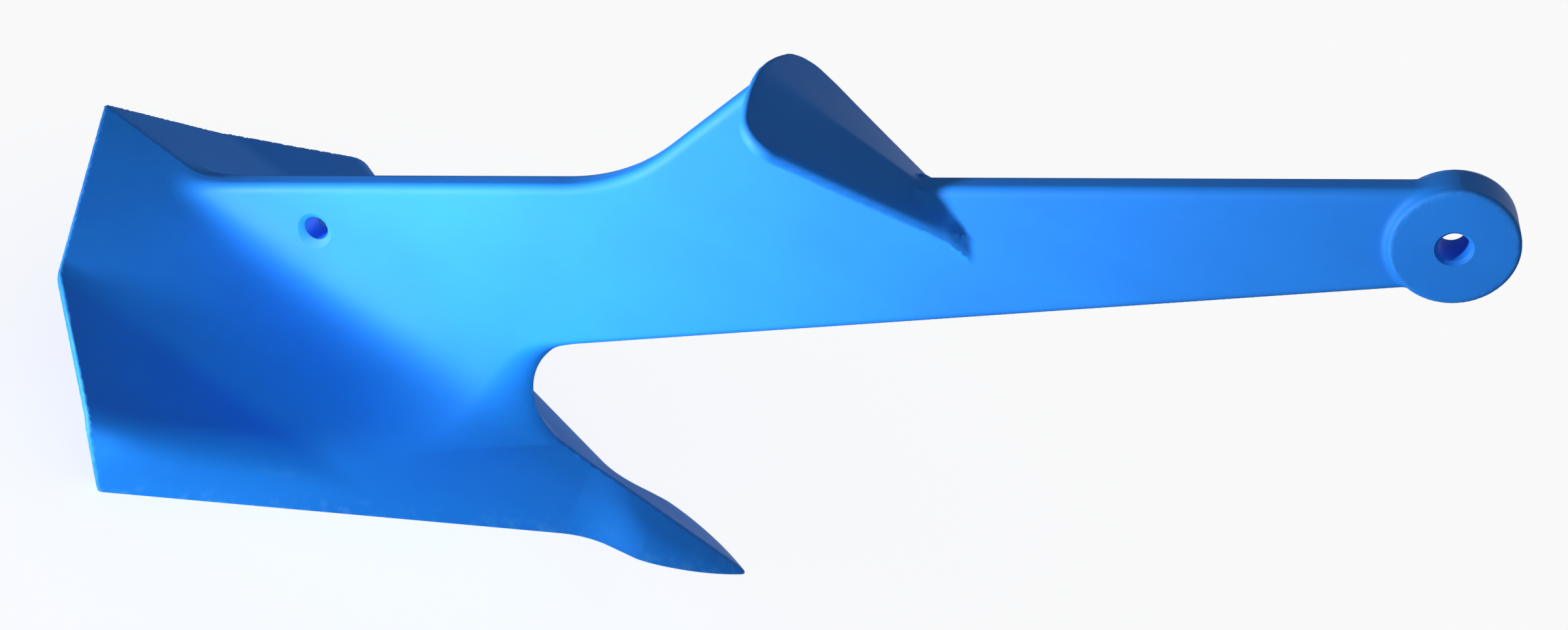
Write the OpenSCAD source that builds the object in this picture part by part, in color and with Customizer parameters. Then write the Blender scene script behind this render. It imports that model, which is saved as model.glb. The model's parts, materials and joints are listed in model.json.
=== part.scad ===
// One-piece moulded plough anchor, standing on the rim of its fluke.
// The moulding is divided at its natural borders into named regions that meet
// face to face, and the ballast weight is sealed inside the nose.
// +X is the direction of pull, towards the shackle eye, and +Z is up.
// The origin is on the ground, under the middle of the anchor.

/* [Shackle eye] */
// Outer diameter of the eye boss
eye_d = 38; // [34:0.5:40]
// Thickness of the eye boss across the shank
eye_t = 16.5; // [12:0.5:18]
// Edge radius of the eye boss
eye_r = 1.4; // [1:0.1:3]
// Hole for the shackle pin
eye_bore_d = 9.2; // [8:0.1:11]
// Mouth diameter of the countersinks of the shackle hole
eye_sink_d = 11.4; // [11.2:0.1:13]
// Depth of those countersinks
eye_sink = 1.4; // [0.8:0.1:2]
// Height of the shackle hole above the ground
eye_h = 241.5; // [238:0.5:244]

/* [Shank] */
// Horizontal distance from the rear end of the ridge to the shackle hole
reach = 428.6; // [424:0.2:434]
// Angle between the top edge of the shank and the ground
shank_angle = 27.4; // [27:0.1:27.8]
// Angle between the bottom edge and the top edge of the shank
shank_taper = 6.08; // [5.8:0.02:6.4]
// Thickness of the shank web
web_t = 11; // [9:0.5:12]
// Distance from the shackle hole's axis up to the top edge
top_edge = 17.6; // [16.4:0.2:18]
// Distance from the shackle hole's axis down to the bottom edge
bottom_edge = 14.3; // [13.5:0.1:15]
// Corner radius along the top edge
top_r = 3.2; // [2:0.1:4.4]
// Corner radius along the bottom edge
bottom_r = 2.6; // [1:0.1:4]
// Radius of the throat between the shank and the nose
throat_r = 26.6; // [25:0.2:28]

/* [Trip line hole] */
// Hole for the trip line, high in the crown web
trip_bore_d = 9; // [7:0.1:10]
// Mouth diameter of its countersinks
trip_sink_d = 12.6; // [12:0.1:14]
// Depth of those countersinks
trip_sink = 1; // [1:0.1:2.4]
// Place along the shank, measured from the shackle hole
trip_x = -383; // [-390:0.5:-378]
// Place above the shank's axis through the shackle hole
trip_z = 0.3; // [0:0.1:4]

/* [Fluke] */
// Height of the ridge at its rear end
ridge_h = 72.7; // [71:0.1:75]
// Fall of the ridge towards the nose, in degrees
ridge_fall = 14.9; // [14.7:0.05:15.1]
// Distance of the crease from the middle plane
crease_y = 56; // [52:0.5:58]
// Side slope of the inner plate
inner_slope = 0.43; // [0.40:0.01:0.45]
// Side slope of the outer plate
outer_slope = 0.055; // [0.03:0.005:0.10]
// Wall thickness of the plates, measured upright
plate_t = 5.4; // [4.5:0.1:6]
// Wall thickness of the flanks
flank_t = 5; // [4:0.1:6]
// Half width of the fluke at its rear corners
corner_y = 103.5; // [101:0.5:106]
// Radius of the folds between the crown web and the plates
fold_r = 15; // [10:0.5:18]

/* [Nose] */
// Horizontal distance from the tip to the shackle hole
tip_reach = 148.3; // [146:0.1:150]
// Height of the ridge at the tip
tip_h = 1.3; // [1:0.1:2]
// Fall of the nose ridge, in degrees
nose_fall = 12.87; // [12.5:0.01:13.2]
// Half width of the spear at its shoulders
spear_y = 18.4; // [17:0.2:19]
// Length of the spear in front of its shoulders
spear_len = 38.7; // [36:0.1:41]
// Bulge of the spear's sides at mid length
spear_bulge = 2.8; // [1:0.1:4]
// Half width of the blunt tip
tip_y = 0.8; // [0.5:0.1:1.5]

/* [Wings] */
// Height of the wing ridge at its rear end
wing_h = 195.5; // [194:0.1:197]
// Forward fall of the wing ridge, in degrees
wing_fall = 11.97; // [11.5:0.01:12.5]
// Side slope of the wings
wing_slope = 0.165; // [0.15:0.005:0.18]
// Thickness of the wings
wing_t = 5.4; // [4.5:0.1:7]
// Horizontal distance from the wings' rear edge to the shackle hole
wing_rear = 214; // [212:0.5:215]
// Half span between the centres of the rounded rear corners
wing_span = 21.9; // [20:0.1:24]
// Plan radius of the rounded rear corners
wing_corner_r = 11.5; // [10:0.1:12]

/* [Ballast] */
// Length of the weight
ballast_len = 60; // [50:1:62]
// Half width of the weight at its rear end
ballast_y = 30; // [20:1:32]
// Nylon left around the weight
ballast_skin = 3.5; // [3:0.1:4]

/* [Hidden] */
$fn = 96;
blue = [0.05, 0.40, 0.85];
lead = [0.45, 0.46, 0.48];
far = 700;                                   // longer than the whole anchor

// Lengthwise stations
overall = reach + eye_d / 2;
eye_x = overall / 2 - eye_d / 2;             // axis of the shackle hole
apex_x = eye_x - reach;                      // rear end of the ridge
tip_x = eye_x - tip_reach;                   // tip of the nose
shoulder_x = tip_x - spear_len;              // shoulders of the spear
keel_x = apex_x + 144;                       // front of the hollow under the fluke

// The two ridge lines, as heights over x = 0, and the station where they meet
ridge_z0 = ridge_h + apex_x * tan(ridge_fall);
nose_z0 = tip_h + tip_x * tan(nose_fall);
nose_x = (ridge_z0 - nose_z0) / (tan(ridge_fall) - tan(nose_fall));

// Half outline of the fluke from above: rear edge, rear corner, straight rim
kink = [apex_x + 23, 57.6];
corner_x = apex_x + 66.6;
flank_lean = 5.4;                            // forward lean of a flank's rear edge
rim_slope = 0.55;
neck_x = shoulder_x - 20;
function rim_y(x) = corner_y - rim_slope * (x - corner_x);
function plate_z(x, y) = ridge_h - (x - apex_x) * tan(ridge_fall) - inner_slope * min(y, crease_y)
                         - outer_slope * max(0, y - crease_y);
flank_top = plate_z(corner_x, corner_y) - plate_t;

// The throat circle touches the shank's bottom edge and the ridge of the nose
bottom_fall = shank_angle + shank_taper;
bottom_z0 = eye_h - eye_x * tan(bottom_fall) - bottom_edge * cos(shank_taper) / cos(bottom_fall);
throat_x = (bottom_z0 - nose_z0 - throat_r / cos(nose_fall) - throat_r / cos(bottom_fall))
           / (-tan(nose_fall) - tan(bottom_fall));
throat_z = nose_z0 - throat_x * tan(nose_fall) + throat_r / cos(nose_fall);

// Shank frame: origin on the shackle hole, x along the top edge, z square to it
function to_shank(x, z) =
    [(x - eye_x) * cos(shank_angle) + (z - eye_h) * sin(shank_angle),
     (z - eye_h) * cos(shank_angle) - (x - eye_x) * sin(shank_angle)];
function bottom_z(x) = tan(shank_taper) * x - bottom_edge;
throat = to_shank(throat_x, throat_z);
root_x = throat[0] - throat_r * sin(shank_taper);    // the shank ends at the throat
rear_x = to_shank(apex_x, ridge_h)[0] - 20;          // behind the whole fluke

// Wing post: an arc rises from the top edge, then a straight back
post_rear_x = -285;
post_front_x = -158;
post_r = 70;
post_rise = 35;
post_foot = top_edge - top_r;
post_arc = [for (a = [0 : post_rise / 12 : post_rise])
    [post_rear_x + post_r * sin(a), top_edge + post_r * (1 - cos(a))]];
post_back = 46;                                      // length of the straight back

// Wing outline from above: a rounded rear corner and a rounded front end
wing_corner = [eye_x - 199.5, wing_span];
wing_sweep = 21.8;
wing_front_r = 3;
wing_front_x = eye_x - 129;
wing_rim = [sin(wing_sweep), cos(wing_sweep)];       // square to the straight rim
wing_front = [wing_front_x, (wing_corner * wing_rim + wing_corner_r - wing_front_r
                             - wing_front_x * wing_rim[0]) / wing_rim[1]];

// ---- Frames and cutting volumes ----

// Puts a shape drawn in the shank frame in its place
module on_shank() {
    translate([eye_x, 0, eye_h]) rotate([0, -shank_angle, 0]) children();
}

// Turns a side outline into a slab of the given thickness around the middle plane
module slab(t) {
    rotate([90, 0, 0]) linear_extrude(t, center = true) children();
}

// Runs a cross-section along +X
module rail(length) {
    rotate([90, 0, 90]) linear_extrude(length) children();
}

// Everything below a roof with one ridge line, lowered by drop
module below_roof(x, z, fall, profile, drop = 0) {
    translate([x, 0, z - drop]) rotate([0, fall, 0]) translate([-far / 2, 0, 0])
        rail(far) polygon(profile);
}

function roof_profile(fall, inner, crease, outer, half) =
    let (k = inner * cos(fall), q = outer * cos(fall), edge = -k * crease - q * (half - crease))
    [[0, 0], [crease, -k * crease], [half, edge], [half, -far],
     [-half, -far], [-half, edge], [-crease, -k * crease]];

module below_plates(drop = 0) {
    below_roof(apex_x, ridge_h, ridge_fall,
               roof_profile(ridge_fall, inner_slope, crease_y, outer_slope, 150), drop);
}

module below_nose(drop = 0) {
    below_roof(tip_x, tip_h, nose_fall,
               roof_profile(nose_fall, inner_slope, crease_y, inner_slope, 150), drop);
}

module below_wings(drop = 0) {
    below_roof(eye_x - wing_rear, wing_h, wing_fall,
               roof_profile(wing_fall, wing_slope, 20, wing_slope, 150), drop);
}

// Keeps the stretch of the children between two stations
module between(x0, x1) {
    intersection() {
        children();
        translate([x0, -far / 2, 0]) cube([x1 - x0, far, far]);
    }
}

// Left half of a plan outline as a tall prism; the right half is its mirror image
module upright(side) {
    mirror([0, side < 0 ? 1 : 0, 0]) linear_extrude(far) intersection() {
        children();
        translate([-far, 0]) square([2 * far, far]);
    }
}

// ---- Outlines ----

module fluke_outline() {
    polygon([[apex_x, 0], kink, [corner_x, corner_y], [neck_x, rim_y(neck_x)], [neck_x, 0]]);
}

// The spear's side bulges from the shoulder to the blunt tip
function spear_side() = [for (i = [0 : 10]) let (t = i / 10)
    [shoulder_x + t * spear_len,
     (1 - t) * spear_y + t * tip_y + 4 * spear_bulge * t * (1 - t)]];

module nose_outline() {
    half = concat([[keel_x, rim_y(keel_x)], [neck_x, rim_y(neck_x)]], spear_side());
    last = len(half) - 1;
    polygon(concat(half, [for (i = [last : -1 : 0]) [half[i][0], -half[i][1]]]));
}

module flank_outline() {
    inset = flank_t * norm([1, rim_slope]);
    polygon([[corner_x, corner_y], [keel_x, rim_y(keel_x)],
             [keel_x, rim_y(keel_x) - inset], [corner_x, corner_y - inset]]);
}

function arc(centre, r, from, to) =
    [for (i = [0 : 8]) let (a = from + (to - from) * i / 8) centre + r * [cos(a), sin(a)]];

module wing_outline() {
    rear_x = eye_x - wing_rear;
    polygon(concat([[rear_x, 0], [rear_x, 14]],
                   arc(wing_corner, wing_corner_r, 161, 90 - wing_sweep),
                   arc(wing_front, wing_front_r, 90 - wing_sweep, 0),
                   [[wing_front[0] + wing_front_r, 0]]));
}

module post_outline() {
    top = post_arc[len(post_arc) - 1];
    polygon(concat([[post_rear_x, post_foot]], post_arc,
                   [top + post_back * [cos(post_rise), sin(post_rise)],
                    [post_front_x, top_edge + 40], [post_front_x, post_foot]]));
}

// ---- Web of the shank ----

// Cross-section rounded along the top edge
module top_bar() {
    translate([rear_x, 0, 0]) rail(-rear_x + eye_d) {
        translate([-web_t / 2, -far]) square([web_t, far + top_edge - top_r]);
        for (side = [-1, 1])
            translate([side * (web_t / 2 - top_r), top_edge - top_r]) circle(top_r);
        translate([top_r - web_t / 2, 0]) square([web_t - 2 * top_r, top_edge]);
    }
}

// Cross-section rounded along the bottom edge
module bottom_bar() {
    translate([0, 0, -bottom_edge]) rotate([0, -shank_taper, 0]) translate([-far, 0, 0])
        rail(far + eye_d) {
            translate([-web_t / 2, bottom_r]) square([web_t, far]);
            for (side = [-1, 1])
                translate([side * (web_t / 2 - bottom_r), bottom_r]) circle(bottom_r);
            translate([bottom_r - web_t / 2, 0]) square([web_t - 2 * bottom_r, far]);
        }
}

// A through hole with a countersink at each side
module cross_bore(d, sink_d, sink, t) {
    rotate([90, 0, 0]) {
        cylinder(h = t + 2, d = d, center = true);
        for (side = [0, 1])
            mirror([0, 0, side]) translate([0, 0, t / 2 - sink])
                cylinder(h = sink + 0.01, d1 = d, d2 = sink_d);
    }
}

// ---- Sub-parts ----

module shackle_eye() {
    flat = eye_d / 2 - eye_r;
    half = eye_t / 2 - eye_r;
    color(blue) on_shank() difference() {
        rotate([90, 0, 0]) rotate_extrude() {
            translate([0, -half]) square([eye_d / 2, 2 * half]);
            translate([0, -eye_t / 2]) square([flat, eye_t]);
            for (side = [-1, 1]) translate([flat, side * half]) circle(eye_r);
        }
        cross_bore(eye_bore_d, eye_sink_d, eye_sink, eye_t);
    }
}

module shank() {
    color(blue) on_shank() difference() {
        intersection() {
            slab(web_t) polygon([[root_x, top_edge], [0, top_edge],
                                 [0, bottom_z(0)], [root_x, bottom_z(root_x)]]);
            top_bar();
            bottom_bar();
        }
        rotate([90, 0, 0]) cylinder(h = far, d = eye_d, center = true);
        slab(web_t + 1) post_outline();
    }
}

module crown_web() {
    foot = to_shank(throat_x - (throat_r + 4) * sin(nose_fall),
                    throat_z - (throat_r + 4) * cos(nose_fall));
    color(blue) difference() {
        on_shank() difference() {
            intersection() {
                slab(web_t) polygon([[root_x, top_edge], [root_x, bottom_z(root_x)], throat, foot,
                                     to_shank(apex_x + 20, 20), [rear_x, top_edge]]);
                top_bar();
            }
            translate([throat[0], 0, throat[1]]) rotate([90, 0, 0])
                cylinder(h = far, r = throat_r, center = true);
            translate([trip_x, 0, trip_z]) cross_bore(trip_bore_d, trip_sink_d, trip_sink, web_t);
        }
        below_plates();
        below_nose();
    }
}

module wing_post() {
    color(blue) intersection() {
        on_shank() slab(web_t) post_outline();
        below_wings(wing_t);
    }
}

module wing(side) {
    color(blue) difference() {
        intersection() {
            upright(side) wing_outline();
            below_wings();
        }
        below_wings(wing_t);
        on_shank() intersection() {
            slab(web_t) polygon([[root_x, top_edge], [0, top_edge], [0, -far], [root_x, -far]]);
            top_bar();
        }
    }
}

// Concave fold between the crown web and one plate, drawn across the ridge line
module fold(side) {
    k = inner_slope * cos(ridge_fall);
    turn = atan(k);
    // centre of a circle that touches the web's side and the plate's top
    cy = web_t / 2 + fold_r;
    cv = fold_r / cos(turn) - k * cy;
    foot_y = cy - fold_r * sin(turn);
    translate([apex_x, 0, ridge_h]) rotate([0, ridge_fall, 0]) mirror([0, side < 0 ? 1 : 0, 0])
        rail(far / 2) difference() {
            polygon([[web_t / 2, -k * web_t / 2], [web_t / 2, cv], [cy, cv],
                     [foot_y, -k * foot_y]]);
            translate([cy, cv]) circle(fold_r);
        }
}

module fluke_plate(side) {
    color(blue) {
        between(apex_x - 1, nose_x) difference() {
            intersection() {
                upright(side) fluke_outline();
                below_plates();
            }
            below_plates(plate_t);
        }
        difference() {
            intersection() {
                between(apex_x - 1, nose_x) fold(side);
                on_shank() slab(far) polygon([[root_x, top_edge - top_r], [root_x, -far],
                                              [rear_x, -far], [rear_x, top_edge - top_r]]);
            }
            on_shank() translate([throat[0], 0, throat[1]]) rotate([90, 0, 0])
                cylinder(h = far, r = throat_r, center = true);
        }
    }
}

module flank(side) {
    color(blue) difference() {
        intersection() {
            upright(side) flank_outline();
            below_plates(plate_t);
        }
        slab(far) polygon([[corner_x - 1, -1], [corner_x + flank_lean, -1],
                           [corner_x + flank_lean, 0], [corner_x, flank_top], [corner_x - 1, flank_top]]);
    }
}

module ballast_body() {
    rear = keel_x + ballast_skin;
    front = rear + ballast_len;
    intersection() {
        translate([0, 0, ballast_skin]) linear_extrude(far)
            polygon([[rear, ballast_y], [rear, -ballast_y],
                     [front, -ballast_y * 0.4], [front, ballast_y * 0.4]]);
        union() {
            below_plates(plate_t + ballast_skin);
            below_nose(plate_t + ballast_skin);
        }
    }
}

module fluke_nose() {
    color(blue) difference() {
        intersection() {
            linear_extrude(far) nose_outline();
            union() {
                below_plates(plate_t);
                between(nose_x, far) below_nose();
            }
        }
        ballast_body();
    }
}

module ballast_weight() {
    color(lead) ballast_body();
}

shackle_eye();
shank();
crown_web();
wing_post();
wing(1);  // left_wing
wing(-1);  // right_wing
fluke_plate(1);  // left_fluke_plate
fluke_plate(-1);  // right_fluke_plate
flank(1);  // left_flank
flank(-1);  // right_flank
fluke_nose();
ballast_weight();
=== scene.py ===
"""Blue moulded plough anchor: one nylon moulding, shaped as a distance field around the CAD frame."""
import json
import math

import bpy
import bmesh
import numpy as np
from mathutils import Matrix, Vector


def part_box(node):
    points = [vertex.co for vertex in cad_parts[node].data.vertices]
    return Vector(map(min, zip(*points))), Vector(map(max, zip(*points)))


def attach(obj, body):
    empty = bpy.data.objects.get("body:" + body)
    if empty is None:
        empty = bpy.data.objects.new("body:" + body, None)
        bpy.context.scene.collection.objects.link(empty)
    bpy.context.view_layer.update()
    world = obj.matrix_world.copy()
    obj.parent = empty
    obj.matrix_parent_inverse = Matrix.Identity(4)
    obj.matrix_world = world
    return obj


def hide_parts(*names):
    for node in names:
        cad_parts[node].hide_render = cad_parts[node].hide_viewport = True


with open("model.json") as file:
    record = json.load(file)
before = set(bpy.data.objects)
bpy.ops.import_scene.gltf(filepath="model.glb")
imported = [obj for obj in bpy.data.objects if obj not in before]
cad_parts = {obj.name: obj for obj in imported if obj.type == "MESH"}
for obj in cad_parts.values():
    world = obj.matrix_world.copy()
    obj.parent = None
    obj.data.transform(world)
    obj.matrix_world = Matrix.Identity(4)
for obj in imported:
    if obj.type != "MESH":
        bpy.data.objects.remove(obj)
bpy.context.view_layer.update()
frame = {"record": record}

import openvdb
from mathutils import Matrix, Vector

MM = 0.001
STEP = 1.2        # grid step of the moulding's mesh, mm
BLOCK = 8                                # grid points along the side of a block
BATCH = 1500                             # blocks worked out at a time
HALF_DIAGONAL = 0.87                     # of a cube, as a share of its side
MARGIN = 6                               # space between the moulding and the grid's edge, mm
NEWTON_STEPS = 6                         # moves of each mesh point onto the surface
SKIN = 0.15                              # how near the field's surface a vertex of the skin lies, mm
FACING = 0.4                             # least agreement of a face's normal with the field's
SHARP = math.radians(30)                 # edges sharper than this stay sharp
CURVE_REACH = 0.8                        # reach of the curvature measure for edge wear and painted edge highlights, mm
FLATTEST = 0.2                           # least squared gradient that a move onto the surface divides by
OUTSIDE = 10.0                           # the field's value beyond the grid
SKY, DEEP, WIDE = 230, -20, 140          # how far cutters reach past the anchor: up, down and sideways, mm
WEB_SPARE, TOP_SPARE, EYE_SPARE = 0.7, 0.6, 0.3      # how far cuts lie outside those faces, mm
RIDGE_DEPTH = 3                          # how far the crown web reaches in under the ridge, mm
WING_SKIN = 0.4                          # what the post keeps of the wings' undersides, mm


# ---- Places and sizes from the frame, in mm ----

def corners(node):
    low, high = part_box(node)
    return [v / MM for v in low], [v / MM for v in high]


MOUNTS = {m["name"]: m for m in frame["record"]["mounts"]}
EYE_X, _, EYE_Z = [v / MM for v in MOUNTS["eye_bore"]["pos_m"]]
TRIP_X, _, TRIP_Z = [v / MM for v in MOUNTS["trip_line_bore"]["pos_m"]]
EYE_BORE_R = MOUNTS["eye_bore"]["dims"]["r_mm"]
TRIP_BORE_R = MOUNTS["trip_line_bore"]["dims"]["r_mm"]
plate_low, plate_high = corners("left_fluke_plate")
nose_low, nose_high = corners("fluke_nose")
eye_low, eye_high = corners("shackle_eye")
_, web_high = corners("crown_web")
wing_low, wing_high = corners("left_wing")

APEX_X, RIDGE_H = plate_low[0], plate_high[2]        # rear end of the ridge
KEEL_X, TIP_X = nose_low[0], nose_high[0]            # solid nose block
HALF_SPAN = plate_high[1]
WEB_Y, EYE_Y = web_high[1], eye_high[1]              # half thicknesses
EYE_R = (eye_high[2] - eye_low[2]) / 2 - 0.1         # a hair inside the CAD's boss
EYE_EDGE_R, EYE_FILLET = 1.4, 2.4
EYE_SINK_R, EYE_SINK = 5.7, 1.4                      # countersinks: radius at the face, and depth
TRIP_SINK_R, TRIP_SINK = 6.3, 1.0
WING_X, WING_H = wing_low[0], wing_high[2]           # rear end of the wing ridge

# Side view, in the shank's own frame: x along the top edge, z square to it
SHANK_ANGLE = math.radians(27.4)
TAPER = math.radians(6.08)
TOP_EDGE, BOTTOM_EDGE = 17.6, 14.3
TOP_R, BOTTOM_R = 3.2, 2.8
THROAT_R = 26.6
THROAT_FROM, THROAT_TO = 123.5, 257.1                # ends of the throat's rounded back, degrees
THROAT_EDGE_GAIN = 3.4                               # extra rounding of the edge along that back
THROAT_LEAN, THROAT_SWELL = 0.42, 0.45               # how far the throat's wall leans out with y
HUMP_X, HUMP_RISE, HUMP_BLEND = -262.9, math.radians(35), 12.7
HUMP_TUCK, HUMP_UPRIGHT = 0.6, 0.96                  # the hump ends inside the wings, this share down
FOLD_SCALE, FOLD_REAR = 1.5, 4                       # width of the fold between web and plates
FOLD_MIDDLE, FOLD_FRONT, FOLD_END = 13, 10, 16       # what it gains to the front, and loses at the throat

# Fluke
RIDGE_FALL, NOSE_FALL, TIP_H = math.tan(math.radians(14.9)), math.tan(math.radians(12.87)), 1.3
CREASE_Y, INNER_SLOPE, OUTER_SLOPE, SPEAR_SLOPE = 56.0, 0.43, 0.055, 0.38
CREASE_R, RIDGE_R = 1.6, 0.6                         # rounding where two slopes of the roof meet
UPRIGHT, UPRIGHT_GAIN = 0.893, 0.07                  # the roof normal's upright part, and its gain outside
PLATE_T, FLANK_T = 5.4, 5.0
RIM_SLOPE, NECK_R = 0.55, 5.0
RIM_LEAN, RIM_LEAN_GAIN = 0.02, 0.9                  # inward lean of the rim's face, and its gain in front
ROLL, ROLL_FRONT, ROLL_SPEAR, ROLL_TIP = 9.5, 3.1, 3.6, 1.6      # rounding of the rim, and what comes off it
CORNER_X = APEX_X + 66.6
KINK = (APEX_X + 23, 57.6)                           # corner in the rear edge
SPEAR_Y, SPEAR_LEN, SPEAR_BULGE, SPEAR_TIP_Y = 18.4, 38.7, 2.8, 0.8
FLANK_LEAN, REAR_TURN, FLANK_TOP = 0.34, 0.7, 24     # lean of the flanks' rear edges, under this height
KINK_R, REAR_EDGE_R, TIP_EDGE_R = 0.6, 1.0, 0.8
HOLLOW_R, RIM_EDGE_R = 5, 2.0                        # inner corners of the shell, and its lower edge
UNDERGROUND = 4                                      # how far the field runs on under the ground

# Wings
WING_FALL, WING_T = math.tan(math.radians(11.97)), 5.4
WING_HALF, WING_TAPER, WING_DROP = 30.5, 0.4, 3.6
WING_CROWN = 6                                       # width of the crease at its rear end
WING_DIP = 5                                         # how far the front end dips
WING_CUT_Y, WING_CUT, WING_CUT_LEN = 14, (12, 3.7), 12.56        # the rear edge turns forward past this y
WING_REAR_R, WING_CORNER_R, WING_EDGE_R = 4, 11.5, 2.2
WING_LEN = 100
WING_UPRIGHT, RIM_SQUARE = 0.965, 0.928              # shares of the face's and the rim's normals
BEVEL_RISE, BEVEL_SINK, BEVEL_SQUARE = 3.4, 1, 0.707 # bevel from the upper face to the shank's side
ROOT_R, ROOT_END = 3, 2.4                            # fillet of the wings' roots, and what it loses in front


# ---- Distance field of the moulding, without its holes ----

def join(a, b, k):
    """Union with a fillet about k wide."""
    h = np.maximum(k - np.abs(a - b), 0)
    return np.minimum(a, b) - h * h / (4 * k)


def soft_join(a, b, k):
    """Union with a wider fillet that fades into both faces."""
    h = np.maximum(1 - np.abs(a - b) / k, 0)
    return np.minimum(a, b) - h * h * h * k / 6


def meet(a, b, k):
    """Intersection with an edge rounded about k wide."""
    return -join(-a, -b, k)


def round_meet(a, b, r):
    """Intersection of two faces square to each other, with an edge of radius r."""
    return np.minimum(-r, np.maximum(a, b)) + np.hypot(np.maximum(r + a, 0), np.maximum(r + b, 0))


def blend(x, x0, x1):
    """0 before x0, 1 after x1, smooth between."""
    t = np.clip((x - x0) / (x1 - x0), 0, 1)
    return t * t * (3 - 2 * t)


def to_shank(x, z):
    """A side-view point in the shank's own frame."""
    c, s = math.cos(SHANK_ANGLE), math.sin(SHANK_ANGLE)
    return (x - EYE_X) * c + (z - EYE_Z) * s, (z - EYE_Z) * c - (x - EYE_X) * s


def rim_y(x):
    """Half width of the fluke's outline at station x."""
    line = HALF_SPAN - RIM_SLOPE * (x - CORNER_X)
    t = np.maximum((x - (TIP_X - SPEAR_LEN)) / SPEAR_LEN, 0)
    spear = (1 - t) * SPEAR_Y + t * SPEAR_TIP_Y + 4 * SPEAR_BULGE * t * (1 - t)
    return -join(-line, -spear, NECK_R)


def ridge_z(x):
    """Height of the ridge: the plates' fall, then the nose's."""
    plates = RIDGE_H - RIDGE_FALL * (x - APEX_X)
    nose = TIP_H + NOSE_FALL * (TIP_X - x)
    return -join(-plates, -nose, RIDGE_R)


def roof(x, y):
    """Height of the fluke's upper face."""
    slope = INNER_SLOPE + (SPEAR_SLOPE - INNER_SLOPE) * blend(x, TIP_X - 66, TIP_X - 34)
    inner = slope * y
    outer = INNER_SLOPE * CREASE_Y + OUTER_SLOPE * (y - CREASE_Y)
    return ridge_z(x) - join(inner, outer, CREASE_R)


def fluke(x, y, z):
    """The fluke filled down to the ground, and the hollow under it."""
    height = roof(x, y)
    upright = UPRIGHT + UPRIGHT_GAIN * blend(y, CREASE_Y - 4, CREASE_Y + 4)
    top = (z - height) * upright
    rim = rim_y(x)
    turn = rim_y(x + 0.5) - rim_y(x - 0.5)
    square = 1 / np.sqrt(1 + turn * turn)
    front = blend(x, CORNER_X + 5, KEEL_X + 8)
    lean = RIM_LEAN + RIM_LEAN_GAIN * front
    side = ((y - rim) * square + lean * z) / np.sqrt(1 + lean * lean)
    spear = blend(x, TIP_X - 70, TIP_X - 42)
    tip = blend(x, TIP_X - 30, TIP_X - 5)
    roll = ROLL - ROLL_FRONT * front - ROLL_SPEAR * spear - ROLL_TIP * tip
    body = meet(top, side, roll)
    first = (-(x - APEX_X) * KINK[1] + y * (KINK[0] - APEX_X)) / math.hypot(KINK[1], KINK[0] - APEX_X)
    dx, dy = CORNER_X - KINK[0], HALF_SPAN - KINK[1]
    second = (-(x - KINK[0]) * dy + (y - KINK[1]) * dx) / math.hypot(dx, dy)
    second = second + FLANK_LEAN * np.maximum(FLANK_TOP - z, 0) * REAR_TURN
    rear = meet(first, second, KINK_R)
    body = round_meet(body, rear, REAR_EDGE_R)
    body = round_meet(body, x - TIP_X, TIP_EDGE_R)
    under = (z - height + PLATE_T) * upright
    wall = (y - rim) * square + FLANK_T + lean * 0.4 * z
    hollow = meet(meet(under, wall, HOLLOW_R), x - KEEL_X, HOLLOW_R)
    return body, hollow


def throat(x, y, z):
    """The throat, a wedge between the shank's bottom edge and the nose ridge, rounded by its radius.

    Returns how far a point lies inside it, the radius of the edge along it, and how far the point
    lies below the shank's bottom edge.
    """
    fall, nose = SHANK_ANGLE + TAPER, math.atan(NOSE_FALL)
    px, pz = x - THROAT[0], z - THROAT[1]
    along_shank = px * math.cos(fall) + pz * math.sin(fall)
    over_shank = pz * math.cos(fall) - px * math.sin(fall)
    along_nose = px * math.cos(nose) - pz * math.sin(nose)
    under_nose = -(pz * math.cos(nose) + px * math.sin(nose))
    reach = np.hypot(px, pz)
    to_shank_line = np.where(along_shank > 0, np.abs(over_shank), reach)
    to_nose_line = np.where(along_nose > 0, np.abs(under_nose), reach)
    clear = np.minimum(to_shank_line, to_nose_line)
    clear = np.where((over_shank < 0) & (under_nose < 0), -clear, clear)
    turn = np.degrees(np.arctan2(pz, px)) % 360
    s = np.clip((turn - THROAT_FROM) / (THROAT_TO - THROAT_FROM), 0, 1)
    back = THROAT_LEAN * blend(s, 0.0, 0.7) + THROAT_SWELL * np.sin(math.pi * s) ** 2
    lean = np.where(along_shank > 0, 0.0, back)
    lean = np.where((along_nose > 0) & (to_nose_line < to_shank_line), THROAT_LEAN, lean)
    gap = (THROAT_R + lean * y - clear) / np.sqrt(1 + lean * lean)
    edge = BOTTOM_R + THROAT_EDGE_GAIN * blend(s, 0.02, 0.35) * (along_shank < 0)
    return gap, edge, THROAT_R - over_shank


def fold_width(x):
    """Width of the fold between web and plates: it widens to the front, and ends before the throat."""
    width = FOLD_REAR + FOLD_MIDDLE * blend(x, APEX_X + 15, APEX_X + 110)
    width = width + FOLD_FRONT * blend(x, APEX_X + 90, APEX_X + 150)
    width = width - FOLD_END * blend(x, THROAT[0] - 45, THROAT[0])
    return FOLD_SCALE * width


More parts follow.
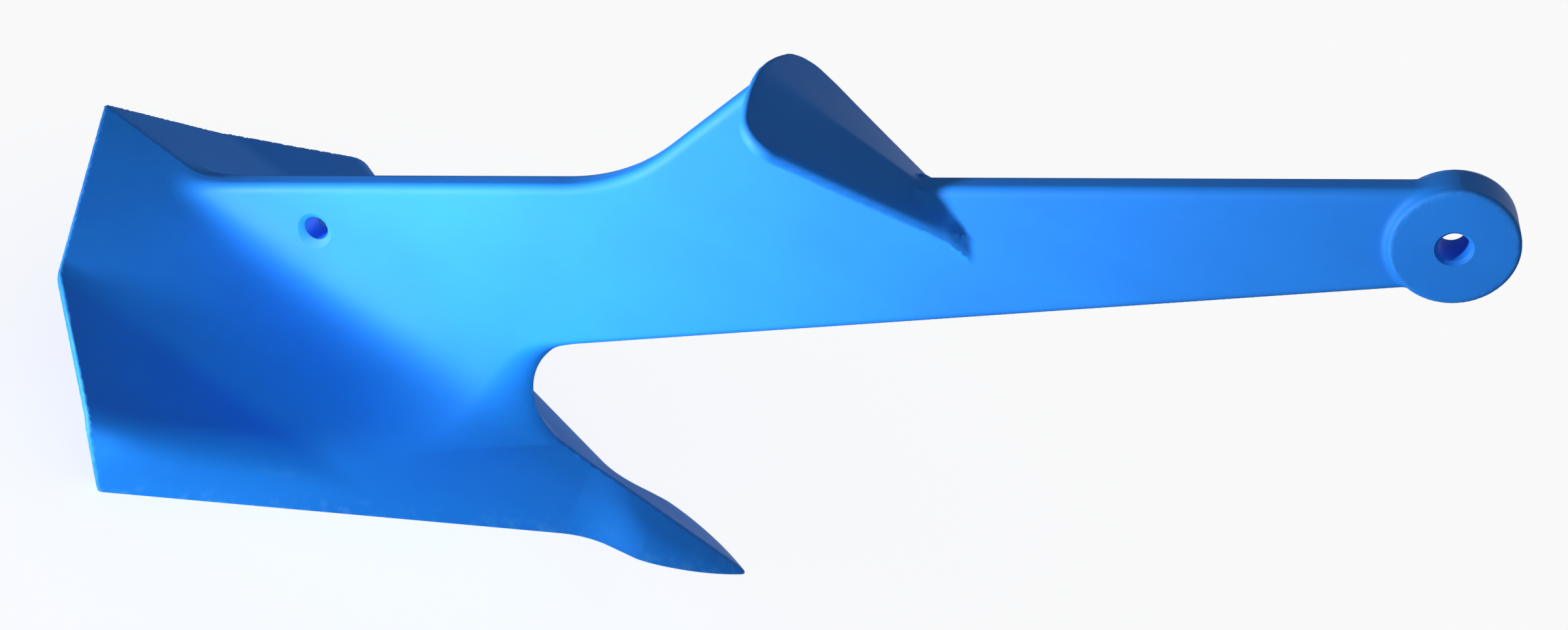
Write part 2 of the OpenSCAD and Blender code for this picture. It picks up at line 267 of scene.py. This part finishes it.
def shank_web(x, y, z, body):
    """The upright web: shank, hump and crown, with the folds that run into the fluke."""
    xs, zs = to_shank(x, z)
    over = zs - TOP_EDGE
    back = over * math.cos(HUMP_RISE) - (xs - HUMP_X) * math.sin(HUMP_RISE)
    under_wings = (z - wing_z(x, y) + WING_T * HUMP_TUCK) * HUMP_UPRIGHT
    crest = np.minimum(over, np.maximum(join(over, back, HUMP_BLEND), under_wings))
    web = soft_join(round_meet(y - WEB_Y, crest, TOP_R), body, fold_width(x))
    gap, edge, below_shank = throat(x, y, z)
    web = round_meet(web, gap, edge)
    web = np.maximum(web, np.minimum(x - THROAT[0], below_shank))
    return np.maximum(web, xs)


def wing_z(x, y):
    """Height of a wing's upper face: a low roof whose crease fades to the rear, and a front end that dips."""
    half = np.maximum(WING_HALF - WING_TAPER * np.maximum(x - WING_X - 24, 0), 7.5)
    crown = WING_CROWN * (1 - blend(x, WING_X, WING_X + 40))
    dip = WING_DIP * blend(x, WING_X + 76, WING_X + 92)
    drop = WING_DROP * (np.hypot(y, crown) - crown * 0.5) / half
    return WING_H - WING_FALL * (x - WING_X) - drop - dip


def wings(x, y, z):
    """One wing: a flat plate with a rounded outline, and a small fairing at its front end."""
    gx = x - WING_X
    swept = (-gx * WING_CUT[0] + (y - WING_CUT_Y) * WING_CUT[1]) / WING_CUT_LEN
    rear = meet(-gx, swept, WING_REAR_R)
    rim = ((y - WING_HALF) + WING_TAPER * (gx - 24)) * RIM_SQUARE
    plan = round_meet(rear, rim, WING_CORNER_R)
    plan = np.maximum(plan, gx - WING_LEN)
    upper = wing_z(x, y)
    middle = upper - WING_T / 2
    layer = np.abs(z - middle) * WING_UPRIGHT - WING_T / 2 * WING_UPRIGHT
    plate = round_meet(layer, plan, WING_EDGE_R)
    # a bevel that carries the upper face up to the shank's side, where the side stands above it
    lift = BEVEL_RISE * blend(gx, 57, 64) - BEVEL_SINK
    bevel = ((z - upper) + (y - WEB_Y) - lift) * BEVEL_SQUARE
    bevel = np.maximum(np.maximum(bevel, middle - z), np.maximum(plan + 0.5, WEB_Y - 0.3 - y))
    return join(plate, bevel, 0.1 + 2.4 * blend(x, WING_X + 58, WING_X + 70))


def eye(x, y, z):
    """The boss of the shackle eye."""
    return round_meet(np.hypot(x - EYE_X, z - EYE_Z) - EYE_R, y - EYE_Y, EYE_EDGE_R)


def throat_centre():
    """Centre of the circle that touches the shank's bottom edge and the ridge of the nose."""
    fall = SHANK_ANGLE + TAPER
    bottom = EYE_Z - EYE_X * math.tan(fall) - BOTTOM_EDGE * math.cos(TAPER) / math.cos(fall)
    nose = TIP_H + NOSE_FALL * TIP_X
    up = THROAT_R * math.sqrt(1 + NOSE_FALL ** 2)
    x = (bottom - nose - up - THROAT_R / math.cos(fall)) / (-NOSE_FALL - math.tan(fall))
    return x, nose - NOSE_FALL * x + up


THROAT = throat_centre()
# where the plates' ridge turns into the nose's
NOSE_X = ((RIDGE_H + RIDGE_FALL * APEX_X) - (TIP_H + NOSE_FALL * TIP_X)) / (RIDGE_FALL - NOSE_FALL)


def wing_floor(x, y):
    """A plane just above the wings' lower faces, where they are cut from the post."""
    return WING_H - WING_T + WING_SKIN - WING_FALL * (x - WING_X) - 0.14 * y


def plate_floor(x, y):
    """A plane just below the outer plates' lower face, where the flanks are cut from them."""
    return ridge_z(x) - INNER_SLOPE * CREASE_Y - OUTER_SLOPE * (y - CREASE_Y) - PLATE_T - 1


def nose_floor(x, y):
    """The inner plates' lower face, where the solid nose is cut from them."""
    return ridge_z(x) - INNER_SLOPE * y - PLATE_T


def moulding(x, y, z):
    """The whole moulding without its holes; both halves are one half, mirrored."""
    y = np.abs(y)
    body, hollow = fluke(x, y, z)
    web = shank_web(x, y, z, body)
    root = ROOT_R - ROOT_END * blend(x, WING_X + 50, WING_X + 66)
    whole = join(np.minimum(web, body), wings(x, y, z), root)
    whole = join(whole, eye(x, y, z), EYE_FILLET)
    return np.maximum(round_meet(whole, -hollow, RIM_EDGE_R), -z - UNDERGROUND)


# ---- Mesh of the moulding ----

def field_grid():
    """The field on a grid, worked out only near the surface, and one half mirrored onto the other."""
    low = np.array([APEX_X - MARGIN, 0.5 * STEP, -MARGIN])
    high = np.array([EYE_X + EYE_R + MARGIN, HALF_SPAN + MARGIN, EYE_Z + EYE_R + MARGIN])
    blocks = np.ceil((high - low) / (STEP * BLOCK)).astype(int)
    values = np.empty(blocks * BLOCK, dtype=np.float32)
    offsets = np.arange(BLOCK) * STEP
    reach = STEP * BLOCK * HALF_DIAGONAL + 3
    middle = STEP * (BLOCK - 1) / 2
    ix, iy, iz = np.meshgrid(*[np.arange(n) for n in blocks], indexing="ij")
    cx = low[0] + ix * BLOCK * STEP + middle
    cy = low[1] + iy * BLOCK * STEP + middle
    cz = low[2] + iz * BLOCK * STEP + middle
    rough = moulding(cx, cy, cz)

    def place(index):
        return tuple(slice(i * BLOCK, (i + 1) * BLOCK) for i in index)

    for index in np.argwhere(np.abs(rough) > reach):
        values[place(index)] = rough[tuple(index)]
    near = np.argwhere(np.abs(rough) <= reach)
    for part in np.array_split(near, max(1, len(near) // BATCH)):
        base = low + part * BLOCK * STEP
        x = base[:, 0, None, None, None] + offsets[None, :, None, None]
        y = base[:, 1, None, None, None] + offsets[None, None, :, None]
        z = base[:, 2, None, None, None] + offsets[None, None, None, :]
        x, y, z = np.broadcast_arrays(x, y, z)
        for index, block in zip(part, moulding(x, y, z)):
            values[place(index)] = block
    both = np.concatenate([values[:, ::-1, :], values], axis=1)
    origin = np.array([low[0], -low[1] - (values.shape[1] - 1) * STEP, low[2]])
    return both, origin


def slope(points, reach=0.02):
    """Value and gradient of the field at some points."""
    x, y, z = points.T
    value = moulding(x, y, z)
    gradient = np.stack([
        moulding(x + reach, y, z) - moulding(x - reach, y, z),
        moulding(x, y + reach, z) - moulding(x, y - reach, z),
        moulding(x, y, z + reach) - moulding(x, y, z - reach)], axis=1) / (2 * reach)
    return value, gradient


def moulding_mesh():
    """Points and quads of the moulding's skin, with each point moved onto the field's surface."""
    values, origin = field_grid()
    grid = openvdb.FloatGrid()
    grid.background = OUTSIDE
    grid.copyFromArray(values)
    points, quads = grid.convertToQuads()
    points = points.astype(np.float64) * STEP + origin
    for _ in range(NEWTON_STEPS):
        value, gradient = slope(points)
        length = np.maximum((gradient ** 2).sum(1), FLATTEST)
        points -= np.clip(value / length, -STEP, STEP)[:, None] * gradient
    middle = np.abs(points[:, 1]) < 0.02 * STEP
    points[middle, 1] = 0
    return points, quads


def add_object(name, data):
    item = bpy.data.objects.new(name, data)
    bpy.context.scene.collection.objects.link(item)
    return item


def new_piece(name, points, faces):
    """An object from points in mm."""
    mesh = bpy.data.meshes.new(name)
    mesh.from_pydata((np.asarray(points) * MM).tolist(), [], [list(f) for f in faces])
    mesh.update()
    return add_object(name, mesh)


def from_bmesh(name, shape):
    mesh = bpy.data.meshes.new(name)
    shape.to_mesh(mesh)
    shape.free()
    return add_object(name, mesh)


def lathe(centre, profile, sides=96):
    """A closed solid of revolution around a crosswise axis; the profile lists (radius, y) from end to end."""
    points, faces = [], []
    for radius, y in profile:
        for i in range(sides):
            a = 2 * math.pi * i / sides
            points.append((centre[0] + radius * math.cos(a), y, centre[1] + radius * math.sin(a)))
    for row in range(len(profile) - 1):
        for i in range(sides):
            j, k = row * sides, row * sides + sides
            faces.append((j + i, k + i, k + (i + 1) % sides, j + (i + 1) % sides))
    faces.append(range(sides))
    faces.append(range(len(points) - 1, len(points) - 1 - sides, -1))
    return new_piece("cutter", points, faces)


def slab(outline, y0, y1):
    """A side outline of (x, z) points, anticlockwise as seen from -Y, as a solid from y0 to y1."""
    n = len(outline)
    points = [(x, y, z) for y in (y0, y1) for x, z in outline]
    faces = [range(n), range(2 * n - 1, n - 1, -1)]
    faces += [(i, i + n, (i + 1) % n + n, (i + 1) % n) for i in range(n)]
    return new_piece("cutter", points, faces)


def under_slope(x0, x1, side, height, inner=-1, outer=WIDE, level=DEEP):
    """The space on one side between a sloping face and a level one."""
    points = []
    for x in (x0, x1):
        for y in (inner, outer):
            z = height(x, y)
            points += [(x, side * y, z), (x, side * y, level)]
    hull = bmesh.new()
    for p in points:
        hull.verts.new([v * MM for v in p])
    bmesh.ops.convex_hull(hull, input=hull.verts)
    return from_bmesh("cutter", hull)


def cut(piece, cutter, operation, name=None):
    """A new piece made from two; the cutter is kept for the next cut."""
    modifier = piece.modifiers.new("cut", "BOOLEAN")
    modifier.operation = operation
    modifier.solver = "MANIFOLD"
    modifier.object = cutter
    bpy.context.view_layer.update()
    shape = piece.evaluated_get(bpy.context.evaluated_depsgraph_get())
    mesh = bpy.data.meshes.new_from_object(shape)
    piece.modifiers.remove(modifier)
    result = add_object(name or piece.name, mesh)
    mesh.name = result.name
    return result


def drop(*pieces):
    """Deletes pieces and their meshes."""
    for piece in pieces:
        mesh = piece.data
        bpy.data.objects.remove(piece)
        bpy.data.meshes.remove(mesh)


def split(piece, cutter, name):
    """Cuts a named piece out; returns it and what is left."""
    taken = cut(piece, cutter, "INTERSECT", name)
    left = cut(piece, cutter, "DIFFERENCE", "rest")
    drop(piece)
    return taken, left


def countersunk(centre, bore_r, sink_r, depth, half):
    """A bore through a web of the given half thickness, flared at both faces."""
    far = half + 2
    flare = (sink_r - bore_r) / depth
    return lathe(centre, [(sink_r + 2 * flare, -far), (bore_r, depth - half),
                          (bore_r, half - depth), (sink_r + 2 * flare, far)])


def from_shank(xs, zs):
    """Side-view place of a point given in the shank's own frame."""
    c, s = math.cos(SHANK_ANGLE), math.sin(SHANK_ANGLE)
    return EYE_X + xs * c - zs * s, EYE_Z + xs * s + zs * c


def ballast_space():
    """The ballast weight's own shape, as one closed skin."""
    weight = bpy.data.objects["ballast_weight"]
    skin = bmesh.new()
    skin.from_mesh(weight.data)
    skin.transform(weight.matrix_world)
    bmesh.ops.remove_doubles(skin, verts=skin.verts, dist=1e-6)
    return from_bmesh("cutter", skin)


def drill_and_trim(whole):
    """Drills both holes and cuts the moulding off level with the ground."""
    under = [(APEX_X - 20, DEEP), (TIP_X + 20, DEEP), (TIP_X + 20, 0), (APEX_X - 20, 0)]
    for cutter in (countersunk((EYE_X, EYE_Z), EYE_BORE_R, EYE_SINK_R, EYE_SINK, EYE_Y),
                   countersunk((TRIP_X, TRIP_Z), TRIP_BORE_R, TRIP_SINK_R, TRIP_SINK, WEB_Y),
                   slab(under, -130, 130)):
        left = cut(whole, cutter, "DIFFERENCE")
        drop(whole, cutter)
        whole = left
    return whole


def divide(whole):
    """Divides the moulding into the CAD's regions, by name, and hollows the nose for its ballast."""
    pieces = {}
    web_half = WEB_Y + WEB_SPARE

    def take(cutter, name):
        nonlocal whole
        taken, whole = split(whole, cutter, "moulded_" + name)
        drop(cutter)
        pieces[name] = taken

    boss_r = EYE_R + EYE_SPARE
    take(lathe((EYE_X, EYE_Z), [(boss_r, -12), (boss_r, 12)]), "shackle_eye")
    # wings: everything over their lower faces, but for the shank's own web
    shank_top = TOP_EDGE + TOP_SPARE
    web = slab([from_shank(-230, -60), from_shank(-100, -60), from_shank(-100, shank_top),
                from_shank(-230, shank_top)], -web_half, web_half)
    for side, name in ((1, "left_wing"), (-1, "right_wing")):
        over = under_slope(WING_X - 10, WING_X + 92, side, wing_floor, 0, 60, SKY)
        cutter = cut(over, web, "DIFFERENCE")
        drop(over)
        take(cutter, name)
    drop(web)
    # the post: the hump, from where the shank's top edge starts to round
    foot = TOP_EDGE - TOP_R
    take(slab([from_shank(-300, foot), from_shank(-150, foot), from_shank(-150, foot + 80),
               from_shank(-300, foot + 80)], -30, 30), "wing_post")
    # the shank ends, and the nose's ridge begins, where the throat's circle touches them
    root = to_shank(*THROAT)[0] - THROAT_R * math.sin(TAPER)
    take(slab([from_shank(root, -80), from_shank(10, -80), from_shank(10, 60), from_shank(root, 60)],
              -30, 30), "shank")
    rear, front = APEX_X + 40, THROAT[0] - THROAT_R * math.sin(math.atan(NOSE_FALL))
    ridge = [(x, float(ridge_z(x)) - RIDGE_DEPTH) for x in (rear, NOSE_X, front)]
    take(slab(ridge + [(front, THROAT[1]), (front + 60, THROAT[1]), (front + 60, SKY), (rear, SKY)],
              -web_half, web_half), "crown_web")
    for side, name in ((1, "left_flank"), (-1, "right_flank")):
        take(under_slope(APEX_X + 20, KEEL_X, side, plate_floor, CREASE_Y), name)
    nose = slab([(NOSE_X, DEEP), (TIP_X + 10, DEEP), (TIP_X + 10, 60), (NOSE_X, 60)], -60, 60)
    for side in (1, -1):
        rear_part = under_slope(KEEL_X, NOSE_X + 1, side, nose_floor)
        joined = cut(nose, rear_part, "UNION")
        drop(nose, rear_part)
        nose = joined
    take(nose, "fluke_nose")
    cavity = ballast_space()
    solid = pieces["fluke_nose"]
    solid.name = solid.data.name = "solid_nose"
    pieces["fluke_nose"] = cut(solid, cavity, "DIFFERENCE", "moulded_fluke_nose")
    drop(solid, cavity)
    left = [(APEX_X - 10, DEEP), (NOSE_X + 10, DEEP), (NOSE_X + 10, SKY), (APEX_X - 10, SKY)]
    take(slab(left, 0, WIDE), "left_fluke_plate")
    whole.name = whole.data.name = "moulded_right_fluke_plate"
    pieces["right_fluke_plate"] = whole
    return pieces


def finish_surface(piece):
    """Normals and the edge attribute from the field, which the material uses for edge wear and painted edge
    highlights; faces made by a cut keep their own normals.
    """
    mesh = piece.data
    points = np.empty(len(mesh.vertices) * 3)
    mesh.vertices.foreach_get("co", points)
    points = points.reshape(-1, 3) / MM
    value, gradient = slope(points)
    normal = gradient / np.maximum(np.linalg.norm(gradient, axis=1), 1e-6)[:, None]
    starts = np.empty(len(mesh.polygons), dtype=np.int32)
    sizes = np.empty(len(mesh.polygons), dtype=np.int32)
    faces = np.empty(len(mesh.polygons) * 3)
    loops = np.empty(len(mesh.loops), dtype=np.int32)
    mesh.polygons.foreach_get("loop_start", starts)
    mesh.polygons.foreach_get("loop_total", sizes)
    mesh.polygons.foreach_get("normal", faces)
    mesh.loops.foreach_get("vertex_index", loops)
    owner = np.repeat(np.arange(len(starts)), sizes)
    facing = (normal[loops] * faces.reshape(-1, 3)[owner]).sum(1)
    on_skin = (np.abs(value[loops]) < SKIN) & (facing > FACING)
    whole_face = np.minimum.reduceat(on_skin, starts)
    custom = normal[loops] * whole_face[owner][:, None]
    mesh.shade_smooth()
    mesh.set_sharp_from_angle(angle=SHARP)
    mesh.normals_split_custom_set(custom.tolist())
    # convexity of the surface, for the material's edge wear and painted edge highlights
    around = -6 * value
    for axis in range(3):
        for way in (-CURVE_REACH, CURVE_REACH):
            moved = points.copy()
            moved[:, axis] += way
            around += moulding(*moved.T)
    edge = mesh.attributes.new("edge", "FLOAT", "POINT")
    edge.data.foreach_set("value", (around / CURVE_REACH ** 2).astype(np.float32))


# ---- Materials ----

DEEP_BLUE, LIGHT_BLUE = (0.0022, 0.190, 0.770), (0.0034, 0.224, 0.860)
# pale blue for worn edges, painted highlights along convex edges, and scuffs near the ground
WEAR_AND_HIGHLIGHT_BLUE = (0.060, 0.330, 0.880)
DARK_METAL, PALE_METAL = (0.075, 0.075, 0.078), (0.19, 0.19, 0.195)


def new_material(name):
    material = bpy.data.materials.new(name)
    material.use_nodes = True
    nodes = material.node_tree.nodes
    return material, nodes, material.node_tree.links, nodes["Principled BSDF"]


def noise(nodes, links, coords, scale, detail=3.0):
    texture = nodes.new("ShaderNodeTexNoise")
    texture.inputs["Scale"].default_value = scale
    texture.inputs["Detail"].default_value = detail
    links.new(coords, texture.inputs["Vector"])
    return texture.outputs["Fac"]


def remap(nodes, links, value, from_low, from_high, to_low, to_high):
    node = nodes.new("ShaderNodeMapRange")
    limits = {"From Min": from_low, "From Max": from_high, "To Min": to_low, "To Max": to_high}
    for name, number in limits.items():
        node.inputs[name].default_value = number
    links.new(value, node.inputs["Value"])
    return node.outputs["Result"]


def maths(nodes, links, operation, a, b):
    node = nodes.new("ShaderNodeMath")
    node.operation = operation
    for socket, value in ((node.inputs[0], a), (node.inputs[1], b)):
        if isinstance(value, (int, float)):
            socket.default_value = value
        else:
            links.new(value, socket)
    return node.outputs[0]


def mix_colour(nodes, links, factor, a, b):
    node = nodes.new("ShaderNodeMix")
    node.data_type = "RGBA"
    links.new(factor, node.inputs["Factor"])
    for socket, value in ((node.inputs[6], a), (node.inputs[7], b)):
        if isinstance(value, tuple):
            socket.default_value = (*value, 1)
        else:
            links.new(value, socket)
    return node.outputs[2]


def bump(nodes, links, height, distance, strength, normal=None):
    node = nodes.new("ShaderNodeBump")
    node.inputs["Distance"].default_value = distance
    node.inputs["Strength"].default_value = strength
    links.new(height, node.inputs["Height"])
    if normal is not None:
        links.new(normal, node.inputs["Normal"])
    return node.outputs["Normal"]


def blue_nylon():
    """Satin reinforced nylon: mottled pigment, flow streaks, a fine mould grain, and paler convex edges that
    are partly wear and partly a painted edge highlight.
    """
    material, nodes, links, shader = new_material("blue_nylon")
    shader.inputs["IOR"].default_value = 1.5
    place = nodes.new("ShaderNodeTexCoord").outputs["Object"]
    along = nodes.new("ShaderNodeMapping")
    along.inputs["Rotation"].default_value = (0, SHANK_ANGLE, 0)
    along.inputs["Scale"].default_value = (7, 60, 60)
    links.new(place, along.inputs["Vector"])
    mottle = noise(nodes, links, place, 22, 5)
    streaks = noise(nodes, links, along.outputs["Vector"], 1.0, 4)
    grain = noise(nodes, links, place, 900, 2)
    peel = noise(nodes, links, place, 160, 2)
    scuffs = noise(nodes, links, place, 260, 6)

    pigment = maths(nodes, links, "ADD", mottle, maths(nodes, links, "MULTIPLY", streaks, 0.6))
    blue = mix_colour(nodes, links, remap(nodes, links, pigment, 0.55, 1.05, 0, 1),
                      DEEP_BLUE, LIGHT_BLUE)
    # convex edges turn paler: partly real wear, partly a painted highlight along ridges, rims and rear edges
    edge = nodes.new("ShaderNodeAttribute")
    edge.attribute_name = "edge"
    edge_wear_and_highlight = maths(nodes, links, "MULTIPLY",
                 remap(nodes, links, edge.outputs["Fac"], 0.4, 0.9, 0, 1),
                 remap(nodes, links, scuffs, 0.42, 0.62, 0.1, 1))
    height = nodes.new("ShaderNodeSeparateXYZ")
    links.new(place, height.inputs["Vector"])
    rubbed = maths(nodes, links, "MULTIPLY",
                   remap(nodes, links, height.outputs["Z"], 0.0, 0.005, 1, 0),
                   remap(nodes, links, scuffs, 0.5, 0.64, 0, 1))
    # the paler colour: convex edges (wear and painted edge highlight), or scuffs near the ground
    wear_and_highlight = maths(nodes, links, "MAXIMUM", maths(nodes, links, "MULTIPLY", edge_wear_and_highlight, 0.5),
                 maths(nodes, links, "MULTIPLY", rubbed, 0.45))
    links.new(mix_colour(nodes, links, wear_and_highlight, blue, WEAR_AND_HIGHLIGHT_BLUE), shader.inputs["Base Color"])
    rough = remap(nodes, links, streaks, 0.35, 0.65, 0.66, 0.74)
    links.new(maths(nodes, links, "ADD", rough, maths(nodes, links, "MULTIPLY", wear_and_highlight, 0.2)),
              shader.inputs["Roughness"])
    surface = bump(nodes, links, peel, 0.00012, 0.35)
    surface = bump(nodes, links, grain, 0.00003, 0.5, surface)
    surface = bump(nodes, links, scuffs, 0.00004, 0.25, surface)
    links.new(surface, shader.inputs["Normal"])
    return material


def cast_metal():
    """Grey cast ballast: a sandy skin with darker pits."""
    material, nodes, links, shader = new_material("cast_ballast")
    shader.inputs["Metallic"].default_value = 0.85
    place = nodes.new("ShaderNodeTexCoord").outputs["Object"]
    sand = noise(nodes, links, place, 700, 4)
    pits = noise(nodes, links, place, 90, 5)
    tone = remap(nodes, links, pits, 0.4, 0.62, 0, 1)
    links.new(mix_colour(nodes, links, tone, DARK_METAL, PALE_METAL), shader.inputs["Base Color"])
    links.new(remap(nodes, links, sand, 0.3, 0.7, 0.55, 0.8), shader.inputs["Roughness"])
    surface = bump(nodes, links, pits, 0.0006, 0.6)
    links.new(bump(nodes, links, sand, 0.0002, 0.7, surface), shader.inputs["Normal"])
    return material


# ---- Camera, light and floor ----

AMBIENT, AMBIENT_GLOSS, BACKDROP = 0.24, 0.03, 0.95      # brightness of the world and the backdrop
FLOOR_GREY = 0.8


def make_camera():
    """The photo's camera, turned with the anchor: where it stands, and its right and down directions."""
    data = bpy.data.cameras.new("camera")
    data.lens = 41.25
    data.sensor_width = 36
    camera = add_object("camera", data)
    right = Vector((0.9060, 0.2547, 0.3379))
    down = Vector((0.4224, -0.4933, -0.7605))
    forward = right.cross(down).normalized()
    down = forward.cross(right).normalized()
    turn = Matrix((right.normalized(), -down, -forward)).transposed().to_4x4()
    camera.matrix_world = Matrix.Translation((0.0470, -0.5126, 0.4554)) @ turn
    bpy.context.scene.camera = camera


def place_light(name, data, place, aim, lit):
    """A lamp aimed at a point, that lights only what the collection holds."""
    light = add_object(name, data)
    light.location = place
    light.rotation_euler = (Vector(aim) - Vector(place)).to_track_quat("-Z", "Y").to_euler()
    light.light_linking.receiver_collection = lit
    return light


def make_spot(name, energy, cone, softness, place, aim, lit):
    """A soft-edged spot lamp that the camera doesn't see; its cone is in degrees."""
    data = bpy.data.lights.new(name, "SPOT")
    data.energy = energy
    data.spot_size = math.radians(cone)
    data.spot_blend = 1.0
    data.shadow_soft_size = softness
    light = place_light(name, data, place, aim, lit)
    light.visible_camera = False
    return light


def make_lights(lit):
    # low and from the rear, on the camera's side; it fades towards the shackle eye
    make_spot("key", 41, 41.6, 0.05, (-0.45, -0.42, 0.02), (-0.032, 0, 0.172), lit)
    # weak, from below the camera, on the flank and the nose
    fill = make_spot("front_fill", 15, 32, 0.1, (0.25, -0.75, -0.04), (-0.10, -0.05, 0.03), lit)
    fill.visible_glossy = False
    # weak and wide, for the far side
    data = bpy.data.lights.new("back_fill", "AREA")
    data.energy = 6
    data.size = 0.8
    place_light("back_fill", data, (0.55, 1.2, 0.05), (0, 0, 0.1), lit)


def make_world():
    """Even light from all round; dimmer in reflections, and pale where the camera sees it."""
    world = bpy.data.worlds.new("studio")
    world.use_nodes = True
    nodes, links = world.node_tree.nodes, world.node_tree.links
    background = nodes["Background"]
    background.inputs["Color"].default_value = (1, 1, 1, 1)
    path = nodes.new("ShaderNodeLightPath")
    glossy = nodes.new("ShaderNodeMix")
    glossy.inputs["A"].default_value = AMBIENT
    glossy.inputs["B"].default_value = AMBIENT_GLOSS
    seen = nodes.new("ShaderNodeMix")
    seen.inputs["B"].default_value = BACKDROP
    links.new(path.outputs["Is Glossy Ray"], glossy.inputs["Factor"])
    links.new(glossy.outputs["Result"], seen.inputs["A"])
    links.new(path.outputs["Is Camera Ray"], seen.inputs["Factor"])
    links.new(seen.outputs["Result"], background.inputs["Strength"])
    bpy.context.scene.world = world


def make_floor():
    """A pale floor that takes the anchor's soft shadow but throws no light back at it."""
    shape = bmesh.new()
    bmesh.ops.create_circle(shape, cap_ends=True, segments=96, radius=6)
    floor = from_bmesh("floor", shape)
    floor.visible_diffuse = False
    floor.visible_glossy = False
    floor.visible_shadow = False
    material, _, _, shader = new_material("pale_floor")
    shader.inputs["Base Color"].default_value = (FLOOR_GREY, FLOOR_GREY, FLOOR_GREY, 1)
    shader.inputs["Roughness"].default_value = 0.9
    shader.inputs["Specular IOR Level"].default_value = 0.0
    shader.inputs["Emission Color"].default_value = (1, 1, 1, 1)
    shader.inputs["Emission Strength"].default_value = BACKDROP - FLOOR_GREY * AMBIENT
    floor.data.materials.append(material)


# ---- Scene ----

make_camera()
bpy.context.scene.view_settings.view_transform = "Standard"
make_world()
make_floor()
lit = bpy.data.collections.new("lit_by_lamps")
make_lights(lit)

nylon = blue_nylon()
whole = drill_and_trim(new_piece("moulding", *moulding_mesh()))
for node, piece in divide(whole).items():
    finish_surface(piece)
    piece.data.materials.clear()
    piece.data.materials.append(nylon)
    lit.objects.link(piece)
    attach(piece, "root")
    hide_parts(node)

ballast = bpy.data.objects["ballast_weight"]
metal = cast_metal()
for slot in ballast.material_slots:
    slot.material = metal
